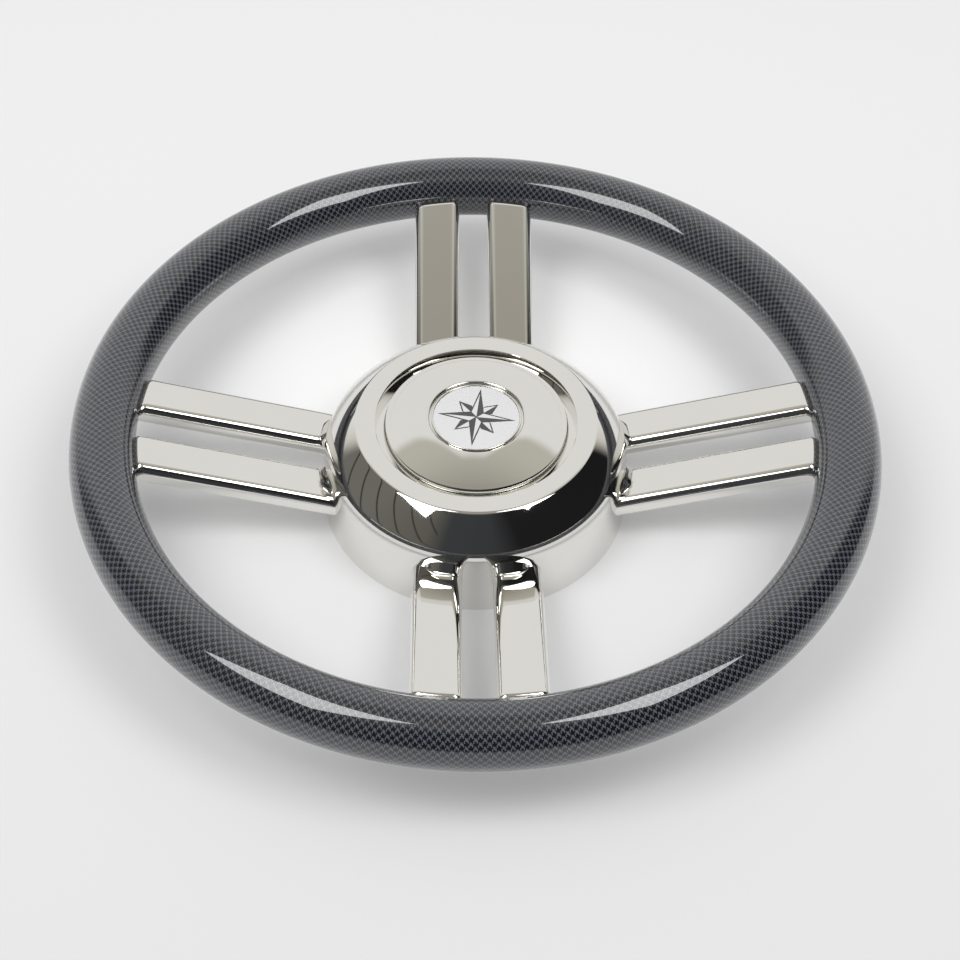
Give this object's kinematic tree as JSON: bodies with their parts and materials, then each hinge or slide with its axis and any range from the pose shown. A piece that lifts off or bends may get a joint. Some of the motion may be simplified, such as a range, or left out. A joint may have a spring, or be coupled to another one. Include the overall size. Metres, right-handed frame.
{
  "type": "boat steering wheel",
  "caption": "Round boat steering wheel: dark glossy grip on a ring, polished forked spokes rising from a domed hub, crowned centre cap with a round badge, taper-bore hub core.",
  "frame": {"origin": "centre of the hub's flat back face, on the wheel's axis", "axes": "+Z along the wheel's axis from the dash to the helmsman; the spokes lie along +X, +Y, -X and -Y; the keyway is on the +X side"},
  "size_m": [0.35, 0.35, 0.056],
  "materials": {
    "grip": "clear lacquer over a fine dark weave print",
    "rod": "plain stainless steel",
    "polished": "mirror-polished stainless steel",
    "cast": "machined casting",
    "plate": "satin",
    "seal": "matte",
    "bezel": "polished ring",
    "badge": "smooth, light"
  },
  "bodies": {
    "wheel": {"rim_grip": "grip", "rim_core": "rod", "spoke_right": "polished", "spoke_back": "polished", "spoke_left": "polished", "spoke_front": "polished", "hub_shell": "polished", "hub_core": "cast", "back_plate": "plate", "fork_screws": "rod", "shell_screws": "rod", "plate_screws": "rod"},
    "cap": {"center_cap": "polished", "cap_ring": "seal", "badge_bezel": "bezel", "badge_disc": "badge"}
  },
  "joints": [
    {"name": "cap_pull", "type": "slide", "parent": "wheel", "child": "cap", "axis": [0, 0, 1], "range_m": [0, 0.03]}
  ]
}
